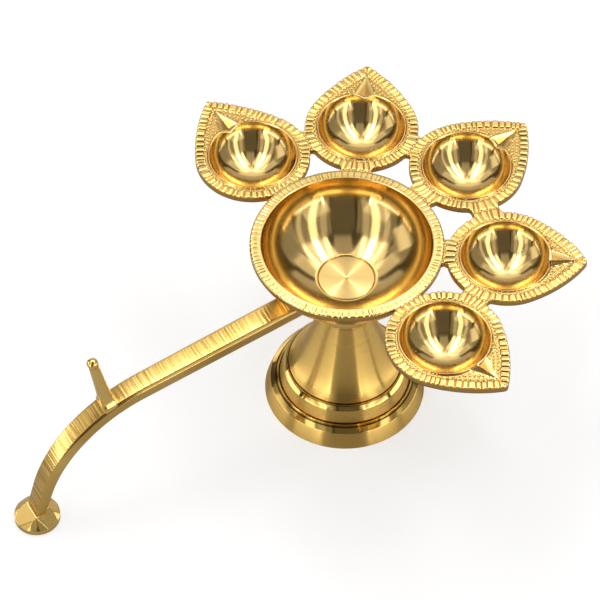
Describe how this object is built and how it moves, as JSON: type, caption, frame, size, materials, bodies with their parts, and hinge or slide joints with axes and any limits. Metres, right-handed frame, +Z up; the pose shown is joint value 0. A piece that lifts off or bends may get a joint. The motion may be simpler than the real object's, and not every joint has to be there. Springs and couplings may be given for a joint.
{
  "type": "aarti lamp",
  "caption": "Brass table lamp for wicks: a stepped pedestal with a bowl, a fan of leaf-shaped wick cups round its rim and a bar handle with a thumb peg and its own foot.",
  "frame": {"origin": "middle of the pedestal's underside, on the table, on the axis of the pedestal and bowl", "axes": "+Z up along the axis of the pedestal and bowl; -X towards the handle's foot; +Y completes the right-handed frame"},
  "size_m": [0.2106, 0.1595, 0.0785],
  "materials": {
    "turned_brass": "turned and polished",
    "chased_brass": "polished, edges punched and chased",
    "filed_brass": "filed and polished",
    "braze": "filed flush"
  },
  "bodies": {
    "stand": {"pedestal": "turned_brass"},
    "washer": {"seat_washer": "turned_brass"},
    "top": {"bowl": "turned_brass", "centre_stud": "turned_brass", "leaf_cup_1": "chased_brass", "leaf_cup_2": "chased_brass", "leaf_cup_3": "chased_brass", "leaf_cup_4": "chased_brass", "leaf_cup_5": "chased_brass", "bowl_braze_joints": "braze", "leaf_braze_joints": "braze", "handle_bar": "filed_brass", "handle_braze": "braze", "thumb_peg": "filed_brass", "handle_foot": "filed_brass"}
  },
  "joints": [
    {"name": "thread_rise", "type": "slide", "parent": "stand", "child": "washer", "axis": [0, 0, 1], "range_m": [0, 0.00875]},
    {"name": "bowl_unscrew", "type": "hinge", "parent": "washer", "child": "top", "pos_m": [0, 0, 0.043], "axis": [0, 0, 1], "range_deg": [0, 2520]}
  ],
  "couplings": [
    {"joint": "thread_rise", "follows": "bowl_unscrew", "m_per_rad": 0.00019894}
  ]
}
